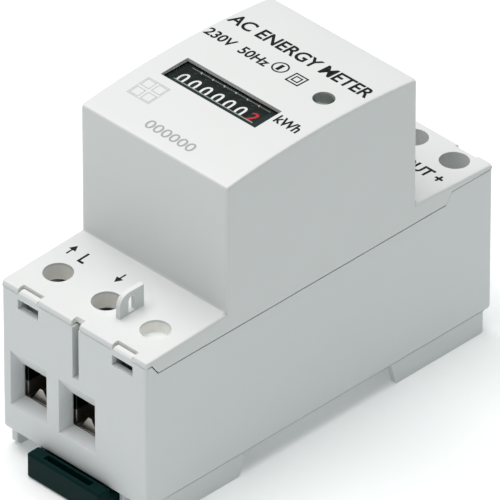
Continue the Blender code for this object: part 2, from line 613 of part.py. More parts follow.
def make_wheels():
    for number in range(1, WHEEL_COUNT + 1):
        x = FIRST_WHEEL_X + (number - 1) * WHEEL_PITCH
        last = number == WHEEL_COUNT
        rim = rod(WHEEL_AXIS, WHEEL_RADIUS, x - WHEEL_HALF, x + WHEEL_HALF, "X", 32)
        if last:
            right = [rod(WHEEL_AXIS, 2.4, x + WHEEL_HALF - 0.2, DRIVE_X[0] + 0.2, "X"),
                     gear(WHEEL_AXIS, DRIVE_TEETH, DRIVE_MODULE, *DRIVE_X)]
        else:
            right = [gear(WHEEL_AXIS, GEAR_TEETH, GEAR_MODULE, x + WHEEL_HALF - 0.2, x + WHEEL_HALF + 0.35,
                          PINION_TILT)]
        carry = [rod(WHEEL_AXIS, 5.0, x - WHEEL_HALF - 0.15, x - WHEEL_HALF + 0.2, "X")] if number > 1 else []
        bore = rod(WHEEL_AXIS, WHEEL_SHAFT_RADIUS + GAP, x - 3, x + 4, "X", 16)
        build(f"number_wheel_{number}", "red" if last else "black", rim,
              [(JOIN, right + carry), (CUT, [bore])], origin=(x, *WHEEL_AXIS))
    build("wheel_shaft", "steel", rod(WHEEL_AXIS, WHEEL_SHAFT_RADIUS, PLATE_X[0][0], PLATE_X[1][1], "X", 16))


def make_transfer():
    for number in range(1, WHEEL_COUNT):
        x = FIRST_WHEEL_X + (number - 1) * WHEEL_PITCH + WHEEL_HALF + PINION_CLEAR
        build(f"transfer_pinion_{number}", "acetal",
              gear(PINION_AXIS, PINION_TEETH, GEAR_MODULE, x, x + PINION_WIDTH,
                   PINION_TILT + math.pi + HALF_TOOTH),
              [(CUT, [rod(PINION_AXIS, PINION_SHAFT_RADIUS + 0.25, x - 1, x + 2, "X", 12)])],
              origin=(x, *PINION_AXIS))
    ends = (PLATE_X[0][0], PLATE_X[1][1])
    build("pinion_shaft", "steel", rod(PINION_AXIS, PINION_SHAFT_RADIUS, *ends, "X", 12))


def make_drive():
    """The stepper motor turns a two-step idler, which turns the units wheel."""
    pin = 0.5
    idler_start, rotor_start = 6.3, 8.1
    build("idler_gear", "acetal", gear(IDLER_AXIS, MOTOR_TEETH, MOTOR_MODULE, *MOTOR_X),
          [(JOIN, [gear(IDLER_AXIS, PINION_TEETH, DRIVE_MODULE, DRIVE_X[0] - 0.1, MOTOR_X[0] + 0.2,
                        math.pi / 2 + HALF_TOOTH),
                   rod(IDLER_AXIS, pin, idler_start, MOTOR_X[1] + 1.0, "X", 12)])],
          origin=(idler_start, *IDLER_AXIS))
    magnet = (11.2, 13.6)
    build("stepper_rotor", "steel", rod(ROTOR_AXIS, 2.2, *magnet, "X", 24),
          [(JOIN, [gear(ROTOR_AXIS, PINION_TEETH, MOTOR_MODULE, *MOTOR_X, HALF_TOOTH),
                   rod(ROTOR_AXIS, pin, rotor_start, magnet[1] + 0.4, "X", 12)])],
          origin=(rotor_start, *ROTOR_AXIS))

    plate = (11.9, 12.9)
    through = (plate[0] - 1, plate[1] + 1)
    leg = (-16.7, -15.3)
    middle = ROTOR_AXIS[1]
    window = block(through, (leg[1], leg[1] + 2.4), around(middle, 2.1))
    build("stepper_stator", "steel", block(plate, (leg[0], -5.8), around(middle, 3.7)),
          [(CUT, [rod(ROTOR_AXIS, 2.6, *through, "X", 24), window])])
    tunnel = block((plate[0] - GAP, plate[1] + GAP), (leg[0] - GAP, leg[1] + GAP), around(middle, 3.0))
    build("stepper_coil", "winding", block(through, (leg[0] - 1.7, leg[1] + 1.9), around(middle, 1.7)),
          [(CUT, [tunnel])])


def make_register_frame():
    """A tray on four legs with two side plates, which carry both shafts and the motor."""
    (left_out, left_in), (right_in, right_out) = PLATE_X
    leg_width = 1.5
    y = FRAME_Y
    height = (FRAME_FLOOR_Z[0], FRAME_TOP_Z)
    plates = [block((left_out, left_in), y, height),
              block((right_in, right_out), y, height),
              block((right_in, right_out), (-17.4, y[0] + 0.2), around(ROTOR_AXIS[1], 4.3))]
    legs = [block((x, x + leg_width), (leg, leg + leg_width), (BOARD_Z[1] + GAP, FRAME_FLOOR_Z[0] + 0.2))
            for x in (left_out + 0.5, right_out - leg_width - 0.5) for leg in (y[0], y[1] - leg_width)]
    pegs = [rod((-7.0, ROTOR_AXIS[1] + lift), 0.6, right_out - 0.1, 11.6, "X", 12) for lift in (-2.9, 2.9)]
    across = (left_out - 1, right_out + 1)
    right_only = (right_in - 1, right_out + 1)
    holes = [rod(WHEEL_AXIS, WHEEL_SHAFT_RADIUS + GAP, *across, "X", 16),
             rod(PINION_AXIS, PINION_SHAFT_RADIUS + GAP, *across, "X", 12),
             rod(IDLER_AXIS, 0.8, *right_only, "X", 12), rod(ROTOR_AXIS, 1.0, *right_only, "X", 12)]
    build("register_frame", "acetal", block((left_out, right_out), y, FRAME_FLOOR_Z),
          [(JOIN, plates + legs + pegs), (CUT, holes)])


def make_window():
    flange_x = (OPENING_X[0] - 1.3, OPENING_X[1] + 1.3)
    flange_y = (OPENING_Y[0] - 1.3, OPENING_Y[1] + 1.3)
    bottom, shoulder, top = LENS_Z
    plug = block((OPENING_X[0] + GAP, OPENING_X[1] - GAP), (OPENING_Y[0] + GAP, OPENING_Y[1] - GAP),
                 (bottom + 0.1, top))
    build("window_lens", "clear", block(flange_x, flange_y, (bottom, shoulder)), [(JOIN, [plug])])
    ends = [block(x, (OPENING_Y[0], OPENING_Y[1]), (FRAME_TOP_Z + GAP, MASK_Z[0] + 0.1)) for x in PLATE_X]
    build("register_mask", "black", block((PLATE_X[0][0], PLATE_X[1][1]), flange_y, MASK_Z),
          [(JOIN, ends), (CUT, [block(APERTURE_X, APERTURE_Y, (50, 60))])])


# Board -------------------------------------------------------------------------------------------

def make_board():
    """The board on its posts, two screws, and the parts that stand a gap above it."""
    holes = [rod(post, 1.4, 30, 35, "Z", 12) for post in POSTS[:2]]
    build("main_board", "board", block((-BOARD_X, BOARD_X), BOARD_Y, BOARD_Z), [(CUT, holes)])
    stand = BOARD_Z[1] + GAP
    varistor_radius, varistor_y = 5.0, (15.4, 19.0)
    for number, post in enumerate(POSTS[:2], start=1):
        build(f"board_screw_{number}", "steel", rod(post, 2.2, stand, stand + 1.6, "Z", 16),
              [(JOIN, [rod(post, 1.1, 26.5, stand + 0.3, "Z", 12)]),
               (CUT, [block(around(post[0], 1.5), around(post[1], 0.3), (stand + 0.8, stand + 3))])])
    build("film_capacitor", "yellow", block((-14.4, -1.4), (8.0, 14.5), (stand, stand + 10)), bevel=0.4)
    build("electrolytic_capacitor", "black", rod((3.6, 13.4), 4.0, stand, stand + 12.5, "Z", 24), bevel=0.4)
    build("varistor", "blue", rod((-10.0, stand + varistor_radius + 0.2), varistor_radius, *varistor_y, "Y", 24),
          bevel=0.6)
    build("optocoupler", "black", block((8.6, 14.4), (14.2, 18.8), (stand, stand + 3.5)), bevel=0.3)
    build("metering_chip", "black", block((-6.0, 4.0), (-7.0, 3.0), (stand, stand + 1.6)), bevel=0.2)
    build("crystal", "steel", block((-6.6, 4.4), (-18.6, -14.0), (stand, stand + 3.5)), bevel=0.5)
    build("status_led", "red", rod(PIPE_AT, 1.5, stand, stand + 3.0, "Z", 16), bevel=0.5)
    pipe_top = BLOCK_CROWN_Z - 0.25
    build("light_pipe", "smoke", rod(PIPE_AT, PIPE_RADIUS, 54.6, pipe_top, "Z", 24),
          [(JOIN, [rod(PIPE_AT, 2.5, 55.4, 56.3, "Z", 24),
                   rod(PIPE_AT, 1.1, stand + 3.5, 55.0, "Z", 16)])])


clear_scene()
METER = bpy.data.objects.new("meter", None)
bpy.context.scene.collection.objects.link(METER)
make_base()
make_cover()
make_clip()
make_spring()
make_terminals()
make_conductors()
make_wheels()
make_transfer()
make_drive()
make_register_frame()
make_window()
make_board()
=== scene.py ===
# %% [markdown]
# # A rail-mounted electricity meter
# The meter is a moulded case in two halves with a roller counter under a small window. The frame
# already holds every part at its true size and place. This lesson gives the parts their looks: smooth
# edges and fine detail where the eye can reach, and a finish worked out from noise on every part.

# %% The frame and the units
import json
import math

import bmesh
import bpy
import numpy as np
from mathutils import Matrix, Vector
from mathutils.bvhtree import BVHTree


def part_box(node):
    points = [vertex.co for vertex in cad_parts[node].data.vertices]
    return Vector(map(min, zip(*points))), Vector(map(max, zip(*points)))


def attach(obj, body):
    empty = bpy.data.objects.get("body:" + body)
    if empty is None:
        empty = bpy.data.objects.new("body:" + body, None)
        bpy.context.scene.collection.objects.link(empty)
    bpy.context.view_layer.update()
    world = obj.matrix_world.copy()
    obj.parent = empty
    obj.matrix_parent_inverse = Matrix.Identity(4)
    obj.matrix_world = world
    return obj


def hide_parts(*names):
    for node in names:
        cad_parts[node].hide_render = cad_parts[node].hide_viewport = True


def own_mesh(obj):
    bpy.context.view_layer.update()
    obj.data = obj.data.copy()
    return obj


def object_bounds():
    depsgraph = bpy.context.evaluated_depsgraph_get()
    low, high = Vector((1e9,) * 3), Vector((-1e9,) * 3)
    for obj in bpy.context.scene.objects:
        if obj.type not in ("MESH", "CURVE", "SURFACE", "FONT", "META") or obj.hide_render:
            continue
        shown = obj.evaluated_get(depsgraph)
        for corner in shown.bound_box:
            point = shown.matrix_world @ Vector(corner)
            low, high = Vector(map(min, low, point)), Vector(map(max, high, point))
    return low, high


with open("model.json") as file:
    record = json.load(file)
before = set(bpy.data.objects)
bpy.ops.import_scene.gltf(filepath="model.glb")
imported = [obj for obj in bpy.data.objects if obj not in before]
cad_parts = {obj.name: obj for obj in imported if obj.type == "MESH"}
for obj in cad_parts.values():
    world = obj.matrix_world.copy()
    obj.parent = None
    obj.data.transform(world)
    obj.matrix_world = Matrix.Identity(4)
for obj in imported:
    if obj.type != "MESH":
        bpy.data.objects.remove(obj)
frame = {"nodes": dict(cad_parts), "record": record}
cad_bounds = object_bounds()
MM = 0.001
BODY_OF = {node: body for body, nodes in frame["record"]["behaviour"]["bodies"].items() for node in nodes}
SLOT_OF = {part["node"]: part["material_slot"] for part in frame["record"]["subparts"]}


def corners(node):
    """Lowest and highest corner of a part, in millimetres."""
    low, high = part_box(node)
    return np.array(low) / MM, np.array(high) / MM


# %% [markdown]
# ## Shader maths
# A finish is easier to read as a sum than as a web of nodes. A small class wraps an output socket, so
# that `0.4 + 0.1 * grain` adds the Math nodes by itself. Anything else comes from one method.

# %% Sockets that can be added and multiplied
class Value:
    """An output socket with arithmetic: each operator adds one Math node."""

    def __init__(self, finish, socket):
        self.finish = finish
        self.socket = socket

    def math(self, operation, *values):
        return self.finish.node("Math", {i: v for i, v in enumerate(values)}, operation=operation)

    def __add__(self, other):
        return self.math("ADD", self, other)

    def __sub__(self, other):
        return self.math("SUBTRACT", self, other)

    def __rsub__(self, other):
        return self.math("SUBTRACT", other, self)

    def __mul__(self, other):
        return self.math("MULTIPLY", self, other)

    def above(self, other):
        return self.math("GREATER_THAN", self, other)

    def below(self, other):
        return self.math("LESS_THAN", self, other)

    def power(self, other):
        return self.math("POWER", self, other)

    __radd__ = __add__
    __rmul__ = __mul__


# %% A finish is a material being made
class Finish:
    """A Principled material, and the nodes that feed it."""

    def __init__(self, name, roughness=0.5, metallic=0.0, **sockets):
        self.material = bpy.data.materials.new(name)
        self.material.use_nodes = True
        self.tree = self.material.node_tree
        self.shader = self.tree.nodes["Principled BSDF"]
        self.set("Roughness", roughness)
        self.set("Metallic", metallic)
        for socket, value in sockets.items():
            self.set(socket.replace("_", " "), value)

    def set(self, socket, value):
        self.feed(self.shader.inputs[socket], value)

    def feed(self, socket, value):
        if isinstance(value, Value):
            self.tree.links.new(value.socket, socket)
        elif isinstance(value, tuple) and len(value) == 3 and socket.type == "RGBA":
            socket.default_value = (*value, 1.0)
        else:
            socket.default_value = value

    def node(self, kind, inputs=None, output=0, stops=(), **settings):
        """Adds a node: its settings first, then the values or links of its sockets."""
        made = self.tree.nodes.new("ShaderNode" + kind)
        for name, value in settings.items():
            setattr(made, name, value)
        for place, (position, colour) in enumerate(stops):
            element = made.color_ramp.elements[place] if place < 2 else made.color_ramp.elements.new(position)
            element.position = position
            element.color = (*colour, 1.0)
        for socket, value in (inputs or {}).items():
            self.feed(made.inputs[socket], value)
        return Value(self, made.outputs[output])

    def place(self):
        """Where a point is, in metres from the part's own origin."""
        return self.node("TexCoord", output="Object")

    def along(self, axis):
        """How far along one axis a point is, in metres."""
        return self.node("SeparateXYZ", {0: self.place()}, output=axis)

    def noise(self, size, detail=2.0, stretch=(1, 1, 1)):
        """Soft noise whose blots are about `size` metres across."""
        scaled = self.node("VectorMath", {0: self.place(), 1: tuple(s / size for s in stretch)},
                           operation="MULTIPLY")
        return self.node("TexNoise", {"Vector": scaled, "Scale": 1.0, "Detail": detail}, output="Fac")

    def mix(self, factor, first, second):
        return self.node("Mix", {0: factor, 6: first, 7: second}, output=2, data_type="RGBA")

    def bump(self, height, depth, strength=1.0):
        """Feeds the Normal from a height of 0 to 1, `depth` metres deep."""
        self.set("Normal", self.node("Bump", {"Height": height, "Distance": depth, "Strength": strength}))
        return self.material


# %% [markdown]
# ## Moulded polycarbonate
# The case is injection moulded in a spark-eroded tool. Seen close, such a surface is a fine even
# grain a tenth of a millimetre across that breaks up the reflections, over very faint clouds where the
# melt cooled unevenly. A bump does the grain, because it is far below the size of any real edge.

# %% Case and cover plastic
GRAIN = 0.12e-3
NOTCH_X = 0.45


def moulded_plastic(name, colour, roughness, cloud=0.02, depth=6e-6, shine=0.42, part=None,
                    part_colour=None):
    """Grained plastic with faint clouds. part gives a mask of where it has part_colour instead."""
    finish = Finish(name, Specular_IOR_Level=shine)
    clouds = finish.noise(14e-3, 3.0)
    darker = tuple(channel * (1 - cloud) for channel in colour)
    lighter = tuple(min(1.0, channel * (1 + cloud)) for channel in colour)
    tint = finish.mix(clouds, darker, lighter)
    finish.set("Base Color", finish.mix(part(finish), tint, part_colour) if part else tint)
    grains = finish.noise(GRAIN, 2.0)
    finish.set("Roughness", roughness + 0.10 * (grains - 0.5) + 0.06 * (clouds - 0.5))
    return finish.bump(grains, depth, 0.8)


def between(value, low, high):
    """1 where a value lies between two lengths in millimetres, and 0 elsewhere."""
    return value.above(low * MM) * value.below(high * MM)


def line_hole_walls(finish):
    """The walls of the holes at the line end, painted pale as painted light that the deep holes don't get:
    below the ledge and well inside the outer faces. The blind hole's floor is left out."""
    low, high = corners("top_cover")
    ledge, edge, blind_x, blind_floor = 30.5, 1.0, 7.0, 28.65
    x, y, z = (finish.along(axis) for axis in "XYZ")
    walls = between(x, low[0] + edge, high[0] - edge) * between(y, low[1] + edge, 0.0) * z.below(ledge * MM)
    return walls - walls * x.above(blind_x * MM) * z.below(blind_floor * MM)


def dusty_slot(finish):
    """The narrow upright slot between the line terminals, darkened as painted shade."""
    left, right, skin, depth, foot = 0.70, 0.75, 0.1, 2.5, 18.9
    near = corners("base_housing")[0][1]
    x, y, z = (finish.along(axis) for axis in "XYZ")
    across = between(x, NOTCH_X - left, NOTCH_X + right)
    return across * between(y, near + skin, near + depth) * z.above(foot * MM)


CASE_GREY = (0.705, 0.735, 0.735)
COVER_GREY = (0.700, 0.730, 0.722)
# A near-white colour painted on the line holes' walls as painted light.
PAINTED_HOLE_LIGHT = (0.93, 0.93, 0.885)
# A dark colour painted in the narrow terminal slot as painted shade.
SLOT_SHADE = (0.30, 0.36, 0.34)
# The case is painted with shade in its terminal slot.
case_plastic = moulded_plastic("case_plastic", CASE_GREY, 0.46, part=dusty_slot, part_colour=SLOT_SHADE)
# The cover's line-hole walls are painted pale as painted light.
cover_plastic = moulded_plastic("cover_plastic", COVER_GREY, 0.42, part=line_hole_walls,
                                part_colour=PAINTED_HOLE_LIGHT)
black_plastic = moulded_plastic("black_plastic", (0.002, 0.019, 0.018), 0.42, 0.15, depth=9e-6, shine=0.05)
wheel_plastic = moulded_plastic("wheel_plastic", (0.003, 0.012, 0.011), 0.40, 0.10, shine=0.10)
mask_plastic = moulded_plastic("mask_plastic", (0.005, 0.017, 0.016), 0.35, 0.10, shine=0.10)
natural_acetal = moulded_plastic("natural_acetal", (0.78, 0.78, 0.73), 0.40, 0.03)
capacitor_box = moulded_plastic("capacitor_box", (0.62, 0.46, 0.08), 0.45, 0.04)
print("moulded finishes made")


# %% [markdown]
# ## Printed ink
# Pad-printed ink lies about ten micrometres thick. It is denser than the plastic and has a slight
# mottle where the pad lifted, so the ink colour varies a little and the surface is a bit glossier.

# %% Inks and lacquers
def ink(name, colour, fade):
    finish = Finish(name, Specular_IOR_Level=0.15)
    mottle = finish.noise(0.35e-3, 3.0)
    pale = tuple(channel + (1 - channel) * fade for channel in colour)
    finish.set("Base Color", finish.mix(mottle.power(3.0), colour, pale))
    finish.set("Roughness", 0.38 + 0.2 * mottle)
    return finish.bump(mottle, 3e-6, 0.5)


black_ink = ink("black_ink", (0.006, 0.008, 0.008), 0.04)
grey_ink = ink("grey_ink", (0.36, 0.37, 0.37), 0.15)
pale_ink = ink("pale_ink", (0.50, 0.52, 0.52), 0.15)
white_ink = ink("white_ink", (0.86, 0.88, 0.86), 0.02)
red_ink = ink("red_ink", (0.62, 0.012, 0.016), 0.03)
# This pale ink paints the highlights along the edges of the counter's opening.
edge_highlight_ink = ink("edge_highlight_ink", (0.30, 0.36, 0.34), 0.10)


# %% [markdown]
# ## Metals
# Drawn and plated metal keeps the direction it was worked in. Noise that is stretched along one axis
# gives both the faint streaks in the colour and the change of roughness across them.

# %% Plated and drawn metal
def worked_metal(name, colour, roughness, along=(1, 1, 1), tarnish=0.25, pitch=0.25e-3, painted_shade_above=None):
    """Plated metal. Above a height, if one is given, it is darkened as painted shade."""
    finish = Finish(name, metallic=1.0)
    streaks = finish.noise(pitch, 3.0, along)
    stains = finish.noise(2.5e-3, 3.0)
    dull = tuple(channel * (1 - tarnish) for channel in colour)
    plated = finish.mix(stains.power(2.0), colour, dull)
    if painted_shade_above:
        # Painted shade: above the height the plating turns near black.
        edge = painted_shade_above + 0.8 * MM * (stains - 0.5)
        plated = finish.mix(finish.along("Z").above(edge), plated, (0.030, 0.045, 0.042))
    finish.set("Base Color", plated)
    finish.set("Roughness", roughness + 0.16 * (streaks - 0.5) + 0.12 * stains)
    return finish.bump(streaks, 4e-6, 0.6)


zinc_steel = worked_metal("zinc_steel", (0.63, 0.63, 0.62), 0.28)
# The clamps are painted near black above 8.9 mm as the shade inside the cable windows.
nickel_plate = worked_metal("nickel_plate", (0.66, 0.62, 0.57), 0.26, along=(0.1, 1, 1), tarnish=0.35,
                            painted_shade_above=8.9 * MM)
copper_strip = worked_metal("copper_strip", (0.78, 0.44, 0.30), 0.30, along=(1, 0.08, 1))
manganin_sheet = worked_metal("manganin_sheet", (0.55, 0.42, 0.36), 0.36, along=(0.08, 1, 1))
crystal_can = worked_metal("crystal_can", (0.68, 0.68, 0.66), 0.22, along=(0.1, 1, 1), tarnish=0.12)
print("metals made")


# %% [markdown]
# ## Board, winding and glossy parts
# The board is green lacquer over copper tracks, so the tracks show as slightly lighter ridges: a brick
# pattern with very thin mortar stands for their grid. The coil is enamelled wire in even turns, which a
# wave across the bobbin gives.

# %% Board lacquer
def board_lacquer():
    finish = Finish("board_lacquer", Coat_Weight=0.4, Coat_Roughness=0.15)
    track = finish.node("TexBrick", {"Vector": finish.place(), "Scale": 300.0, "Mortar Size": 0.05,
                                     "Brick Width": 0.9, "Row Height": 0.35}, output="Fac")
    weave = finish.noise(0.4e-3, 2.0)
    green = finish.mix(weave, (0.012, 0.10, 0.045), (0.016, 0.13, 0.06))
    finish.set("Base Color", finish.mix(track, green, (0.03, 0.20, 0.09)))
    finish.set("Roughness", 0.34 + 0.1 * weave)
    return finish.bump(track, 20e-6, 0.7)


# %% Enamelled winding
def enamelled_winding():
    finish = Finish("enamelled_winding", metallic=0.6, Coat_Weight=0.6)
    turns = finish.node("TexWave", {"Vector": finish.place(), "Scale": 900.0, "Distortion": 0.4},
                        output="Fac", bands_direction="Z")
    finish.set("Base Color", finish.mix(turns, (0.20, 0.05, 0.015), (0.62, 0.24, 0.09)))
    finish.set("Roughness", 0.30 + 0.15 * (1 - turns))
    return finish.bump(turns, 60e-6)


# %% Dipped and sleeved parts
def dipped(name, colour, roughness=0.22):
    """Epoxy or shrink sleeve: glossy, with slow waves where it ran before it set."""
    finish = Finish(name, Coat_Weight=0.3)
    runs = finish.noise(1.6e-3, 1.0)
    deep = tuple(channel * 0.75 for channel in colour)
    finish.set("Base Color", finish.mix(runs, deep, colour))
    finish.set("Roughness", roughness + 0.12 * runs)
    return finish.bump(runs, 50e-6, 0.4)


lacquered_board = board_lacquer()
winding = enamelled_winding()
blue_epoxy = dipped("blue_epoxy", (0.03, 0.10, 0.38))
black_sleeve = dipped("black_sleeve", (0.014, 0.014, 0.018))
red_epoxy = dipped("red_epoxy", (0.55, 0.02, 0.02), 0.12)
red_sleeve = dipped("red_sleeve", (0.45, 0.02, 0.02), 0.35)


# %% [markdown]
# ## Clear parts
# The window is a flat clear plate. A thin plate needs no refraction to look right, so it is mostly see-
# through, and its gloss comes from the shader. The light pipe is smoked, so very little shows inside it.

# %% Window and light pipe
def clear_plate():
    finish = Finish("clear_plate", Alpha=0.04, IOR=1.50, Specular_IOR_Level=0.06)
    haze = finish.noise(3e-3, 2.0)
    finish.set("Base Color", finish.mix(haze, (0.20, 0.24, 0.23), (0.26, 0.30, 0.29)))
    finish.set("Roughness", 0.05 + 0.05 * haze)
    return finish.material


def smoked_rod():
    finish = Finish("smoked_rod", Coat_Weight=0.2, IOR=1.58)
    depth = finish.noise(1.2e-3, 2.0)
    finish.set("Base Color", finish.mix(depth, (0.048, 0.062, 0.056), (0.085, 0.105, 0.095)))
    finish.set("Roughness", 0.22 + 0.1 * depth)
    return finish.bump(depth, 8e-6, 0.3)


window_clear = clear_plate()
smoked = smoked_rod()

# %% A finish for every part of the frame
FINISH_OF_SLOT = {
    "case": case_plastic, "cover": cover_plastic, "clear": window_clear, "smoke": smoked,
    "black": black_plastic, "red": wheel_plastic, "steel": zinc_steel, "nickel": nickel_plate,
    "copper": copper_strip, "manganin": manganin_sheet, "winding": winding, "board": lacquered_board,
    "blue": blue_epoxy, "yellow": capacitor_box, "acetal": natural_acetal}
FINISH_OF_PART = {
    "register_mask": mask_plastic, "electrolytic_capacitor": black_sleeve, "crystal": crystal_can,
    "status_led": red_epoxy, "sense_wire_1": red_sleeve, "sense_wire_2": red_sleeve}
for node, part in frame["nodes"].items():
    part.data.materials.clear()
    part.data.materials.append(FINISH_OF_PART.get(node, FINISH_OF_SLOT[SLOT_OF[node]]))
print("parts finished:", len(frame["nodes"]))


# %% [markdown]
# ## Making a mesh from arrays
# New parts are surfaces worked out as whole arrays. A grid of points, rows by columns, becomes quads,
# closed round in either direction if the shape comes back to its start.

# %% Grids, pieces and turned shapes
GENTLE = math.radians(35)


def grid_faces(rows, columns, close_rows, close_columns):
    """Corner numbers of the quads between neighbouring points of a rows x columns grid."""
    row = np.arange(rows if close_rows else rows - 1)
    column = np.arange(columns if close_columns else columns - 1)
    row, column = (part.ravel() for part in np.meshgrid(row, column, indexing="ij"))
    below, right = (row + 1) % rows, (column + 1) % columns
    return np.stack([row * columns + column, row * columns + right, below * columns + right,
                     below * columns + column], axis=1)


def new_piece(name, body, finish, points, faces):
    """A piece from points in millimetres and faces, outward, shaded smooth where it turns gently."""
    mesh = bpy.data.meshes.new(name)
    mesh.from_pydata((np.asarray(points) * MM).tolist(), [], [list(map(int, face)) for face in faces])
    mesh.update()
    bm = bmesh.new()
    bm.from_mesh(mesh)
    bmesh.ops.remove_doubles(bm, verts=bm.verts, dist=1e-7)
    bmesh.ops.recalc_face_normals(bm, faces=bm.faces)
    bm.to_mesh(mesh)
    bm.free()
    mesh.shade_smooth()
    mesh.set_sharp_from_angle(angle=GENTLE)
    mesh.materials.append(finish)
    piece = bpy.data.objects.new(name, mesh)
    bpy.context.scene.collection.objects.link(piece)
    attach(piece, body)
    return piece


def axis_frame(axis):
    """Unit vectors across, across and along an axis."""
    turn = {"X": (1, 2, 0), "Y": (2, 0, 1), "Z": (0, 1, 2)}[axis]
    return np.eye(3)[list(turn)]


def turned(profile, centre, axis, sides, ripple=None):
    """A profile of (radius, height) points turned round an axis. ripple(angle, radius, height) adds to
    the radius, for teeth and flutes. The profile is closed, or it starts and ends on the axis."""
    radius, height = np.array(profile, float).T
    angle = np.linspace(0, 2 * np.pi, sides, endpoint=False)[:, None]
    reach = radius[None, :] + (ripple(angle, radius, height) if ripple else 0.0)
    across, up, along = axis_frame(axis)
    points = (np.cos(angle) * reach)[..., None] * across + (np.sin(angle) * reach)[..., None] * up
    return points + height[None, :, None] * along + np.array(centre, float)


def turned_piece(name, body, finish, profile, centre, axis, sides=64, ripple=None, closed=True):
    points = turned(profile, centre, axis, sides, ripple)
    faces = grid_faces(sides, len(profile), True, closed)
    return new_piece(name, body, finish, points.reshape(-1, 3), faces)


# %% [markdown]
# ## The two case halves
# Both halves have the right shape already, but their cut edges are knife sharp, which no moulding is.
# A copy is merged into one skin, its flat areas are cleared of stray edges, and every crisp edge gets a
# radius of about a tenth of a millimetre. Weighted normals then keep the flats flat beside the radii.

# %% Softened copies of frame parts
CRISP = math.radians(30)


def softened(node, finish, radius):
    """A merged copy of a part with its crisp edges rounded, which stands for that part."""
    source = frame["nodes"][node]
    bm = bmesh.new()
    bm.from_mesh(source.data)
    bmesh.ops.remove_doubles(bm, verts=bm.verts, dist=2e-6)
    bmesh.ops.dissolve_limit(bm, angle_limit=math.radians(1), verts=bm.verts, edges=bm.edges)
    edges = [edge for edge in bm.edges
             if len(edge.link_faces) == 2 and edge.calc_face_angle(0.0) > CRISP]
    bmesh.ops.bevel(bm, geom=edges, offset=radius * MM, offset_type="OFFSET", segments=2,
                    profile=0.5, affect="EDGES", clamp_overlap=False)
    bmesh.ops.remove_doubles(bm, verts=bm.verts, dist=2e-6)
    mesh = bpy.data.meshes.new(node + "_soft")
    bm.to_mesh(mesh)
    bm.free()
    mesh.shade_smooth()
    mesh.set_sharp_from_angle(angle=math.radians(60))
    mesh.materials.append(finish)
    piece = bpy.data.objects.new(mesh.name, mesh)
    bpy.context.scene.collection.objects.link(piece)
    weighted = piece.modifiers.new("flat faces lead", "WEIGHTED_NORMAL")
    weighted.keep_sharp = True
    weighted.weight = 60
    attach(piece, BODY_OF[node])
    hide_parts(node)
    print(piece.name, "faces:", len(mesh.polygons))
    return piece


softened("base_housing", case_plastic, 0.10)
softened("top_cover", cover_plastic, 0.10)
softened("rail_clip", black_plastic, 0.12)
for clamp in ("line_in_clamp", "line_out_clamp", "neutral_clamp", "pulse_clamp_1", "pulse_clamp_2"):
    softened(clamp, nickel_plate, 0.08)
for strap in ("busbar_in", "busbar_out"):
    softened(strap, copper_strip, 0.10)


# %% [markdown]
# ## The number wheels
# A number wheel is a hub, a rim that carries the figures, a 20-tooth gear on its right and a smooth
# carry ring on its left. The last wheel has the 24-tooth drive gear instead. Each wheel is one turned
# surface: a closed profile, with the gear's teeth as a ripple on the part where the gear is.

# %% Wheel profile and teeth
wheel_low, wheel_high = corners("number_wheel_1")
WHEEL_AXIS = (wheel_low + wheel_high)[1:] / 2
WHEEL_RADIUS = (wheel_high - wheel_low)[1] / 2
WHEEL_COUNT = 7
RIM_HALF = 1.05
BORE = 1.3
HUB_RADIUS = 2.6
CARRY_RADIUS = 5.0
RIM_CORNER = 0.12
FACE_STEP = 0.02
DRIVE_WIDTH = 0.8
# Each gear: teeth, middle radius, half the tooth's height, and the angle of one tooth
CARRY_GEAR = (20, 5.72, 0.50, math.radians(-20))
DRIVE_GEAR = (24, 4.75, 0.34, 0.0)
FIRST_X = wheel_low[0] + RIM_HALF
WHEEL_PITCH = corners("number_wheel_2")[1][0] - wheel_high[0]
print("wheel pitch", round(WHEEL_PITCH, 3), "first wheel at", round(FIRST_X, 2))


def teeth(count, height, low, high, start):
    """A ripple of rounded teeth, one of them at the angle `start`, between two heights of a profile."""
    def ripple(angle, radius, place):
        toothed = (place >= low - 1e-6) & (place <= high + 1e-6) & (radius > 0.5 * radius.max())
        wave = np.tanh(2.5 * np.cos(count * (angle - start))) / np.tanh(2.5)
        return toothed[None, :] * height * wave
    return ripple


def wheel_profile(right_radius, right_end, left_end, gear_at):
    """Bore, left face, carry ring, rim with broken corners, right face, gear, and back to the bore."""
    rim, corner = WHEEL_RADIUS, RIM_CORNER
    return [(BORE, left_end), (CARRY_RADIUS, left_end), (CARRY_RADIUS, -RIM_HALF), (rim - corner, -RIM_HALF),
            (rim, -RIM_HALF + corner), (rim, RIM_HALF - corner), (rim - corner, RIM_HALF),
            (HUB_RADIUS, RIM_HALF), (HUB_RADIUS, gear_at), (right_radius, gear_at),
            (right_radius, right_end), (BORE, right_end)]


def number_wheel(number):
    node = f"number_wheel_{number}"
    x = FIRST_X + (number - 1) * WHEEL_PITCH
    low, high = corners(node)
    last = number == WHEEL_COUNT
    right = high[0] - x
    gear_at = right - DRIVE_WIDTH if last else RIM_HALF + FACE_STEP
    left = low[0] - x if number > 1 else -RIM_HALF - FACE_STEP
    count, pitch_radius, tooth, start = DRIVE_GEAR if last else CARRY_GEAR
    profile = wheel_profile(pitch_radius, right, left, gear_at)
    piece = turned_piece(f"wheel_{number}", BODY_OF[node], wheel_plastic, profile, (x, *WHEEL_AXIS), "X",
                         240, teeth(count, tooth, gear_at, right, start))
    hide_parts(node)


for number in range(1, WHEEL_COUNT + 1):
    number_wheel(number)


# %% [markdown]
# ## Figures round the wheels
# The figures are printed on the rim. A text object is the quickest outline of a figure. Its flat mesh
# is sliced into thin bands first, because a flat figure three millimetres tall would cut through a rim
# of seven millimetres radius. Then each point is wrapped: its height above the line becomes an angle.

# %% Text as a flat mesh
CAP_SHARE = 0.729


